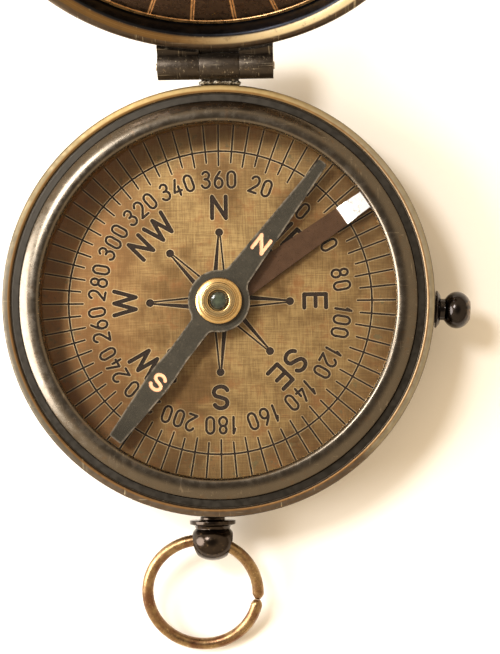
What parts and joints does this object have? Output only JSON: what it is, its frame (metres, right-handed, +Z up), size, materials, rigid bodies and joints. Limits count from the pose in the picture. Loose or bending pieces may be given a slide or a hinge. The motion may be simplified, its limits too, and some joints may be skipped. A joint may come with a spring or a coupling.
{
  "type": "pocket compass",
  "caption": "Round brass pocket compass with a hinged lid, engraved dial, pivoted needle under glass, needle check button, and a split ring on a ball pendant.",
  "frame": {"origin": "centre of the flat back of the case, which rests on the table", "axes": "+Z up through the dial, out of the glass; +Y towards the hinge, the dial's north; +X towards the button side, the dial's east"},
  "size_m": [0.0813, 0.151, 0.0762],
  "materials": {
    "case_brass": "darkened antique brass, worn to bright metal on the rims",
    "inner_brass": "turned",
    "dial_brass": "brushed and tarnished, engraved and filled with black",
    "glass": "clear",
    "bezel_bronze": "chemically darkened, polished",
    "steel": "turned",
    "knob_dark": "blackened, polished",
    "pendant_bronze": "darkened, polished",
    "hinge_gunmetal": "blackened, scratched",
    "needle_steel": "dark matt",
    "cap_brass": "turned bright",
    "jewel": "polished",
    "lever_copper": "tarnished strip with a bright end",
    "lid_plate_bronze": "polished dark, engraved",
    "bow_brass": "tarnished wire"
  },
  "bodies": {
    "case": {"case_shell": "case_brass", "dial_spacer_ring": "inner_brass", "dial_plate": "dial_brass", "glass_seat_ring": "inner_brass", "cover_glass": "glass", "bezel_ring": "bezel_bronze", "pivot_post": "steel", "pivot_nut": "inner_brass", "fulcrum_stud": "inner_brass", "button_collar": "knob_dark", "pendant": "pendant_bronze", "case_hinge_knuckle": "hinge_gunmetal"},
    "needle": {"needle_bar": "needle_steel", "needle_cap": "cap_brass", "needle_jewel": "jewel"},
    "lever": {"lifter_lever": "lever_copper"},
    "button": {"check_button": "knob_dark", "button_retainer": "steel", "button_spring": "steel"},
    "lid": {"lid_shell": "case_brass", "lid_plate": "lid_plate_bronze", "lid_hinge_leaf": "hinge_gunmetal", "hinge_pin": "steel"},
    "bow": {"bow_ring": "bow_brass"}
  },
  "joints": [
    {"name": "lid_hinge", "type": "hinge", "parent": "case", "child": "lid", "pos_m": [0, 0.0406, 0.01265], "axis": [-1, 0, 0], "range_deg": [-125, 55]},
    {"name": "needle_spin", "type": "hinge", "parent": "case", "child": "needle", "pos_m": [0, 0, 0.0081], "axis": [0, 0, 1], "continuous": true},
    {"name": "button_press", "type": "slide", "parent": "case", "child": "button", "axis": [-0.9986, 0.0523, 0], "range_m": [0, 0.0005], "stiffness_N_per_m": 1000, "springref_m": -0.0005, "deforming": ["button_spring"]},
    {"name": "lever_tilt", "type": "hinge", "parent": "case", "child": "lever", "pos_m": [0.02885, 0.01407, 0.00735], "axis": [0.0523, 0.9986, 0], "range_deg": [0, 1]},
    {"name": "bow_swing", "type": "hinge", "parent": "case", "child": "bow", "pos_m": [-0.0016, -0.0425, 0.0062], "axis": [-1, 0, 0], "range_deg": [-90, 122]}
  ],
  "couplings": [
    {"joint": "lever_tilt", "follows": "button_press", "rad_per_m": 35}
  ]
}
